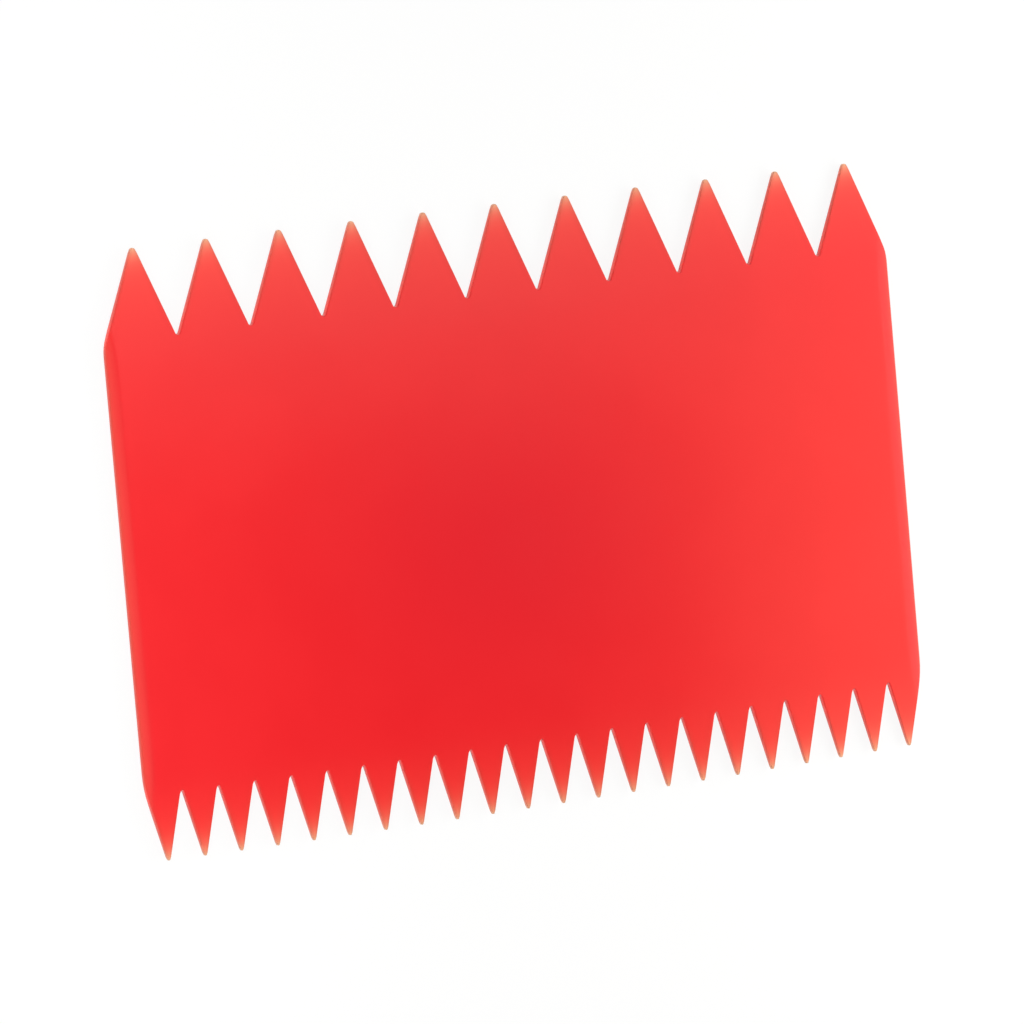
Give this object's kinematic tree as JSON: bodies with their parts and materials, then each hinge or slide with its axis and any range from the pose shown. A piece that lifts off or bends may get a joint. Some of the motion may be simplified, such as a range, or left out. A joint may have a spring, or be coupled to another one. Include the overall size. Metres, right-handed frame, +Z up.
{
  "type": "cake comb",
  "caption": "Flat rectangular plastic cake comb with coarse pointed teeth along one long edge and fine pointed teeth along the other, for drawing lines in icing.",
  "frame": {"origin": "on the face that the comb lies on, under the middle of its overall width and height", "axes": "+X along the rows of teeth, +Y from the fine teeth to the coarse teeth, +Z up through the thickness"},
  "size_m": [0.11, 0.0762, 0.0012],
  "materials": {
    "red_plastic": "smooth satin moulding, a little lighter at the thin tooth tips"
  },
  "bodies": {
    "root": {"comb_plate": "red_plastic"}
  },
  "joints": []
}
